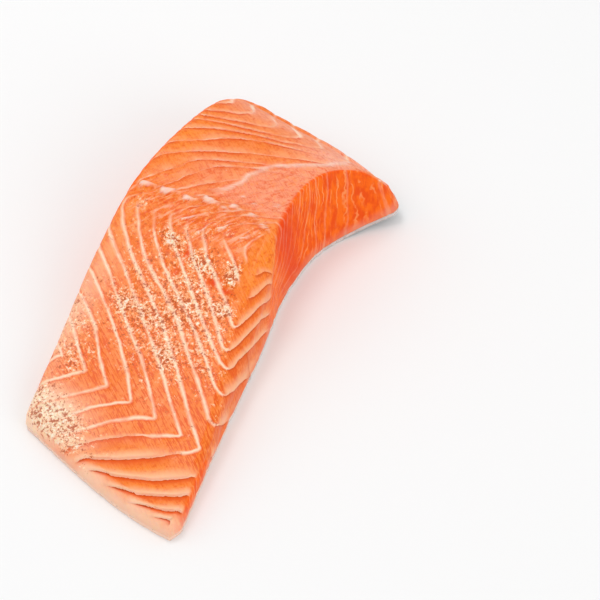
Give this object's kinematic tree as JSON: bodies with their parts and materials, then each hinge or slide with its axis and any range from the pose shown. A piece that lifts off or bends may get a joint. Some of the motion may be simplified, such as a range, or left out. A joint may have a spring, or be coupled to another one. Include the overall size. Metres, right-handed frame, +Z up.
{
  "type": "salmon fillet",
  "caption": "Raw skin-on salmon fillet portion lying flesh side up, with a thick loin, a thin belly flap, slanted knife cuts and zigzag flakes.",
  "frame": {"origin": "centre of the portion's bounding box in plan, on the surface it lies on", "axes": "+X along the fish towards the cut face that leans outward, +Y from the belly flap to the back, +Z up from the skin to the flesh"},
  "size_m": [0.0704, 0.1512, 0.0298],
  "materials": {
    "flesh": "raw orange salmon flesh, moist, with pale fat seams",
    "skin": "wet scaled skin, black at the back and silver at the belly"
  },
  "bodies": {
    "root": {"flesh": "flesh", "skin": "skin"}
  },
  "joints": []
}
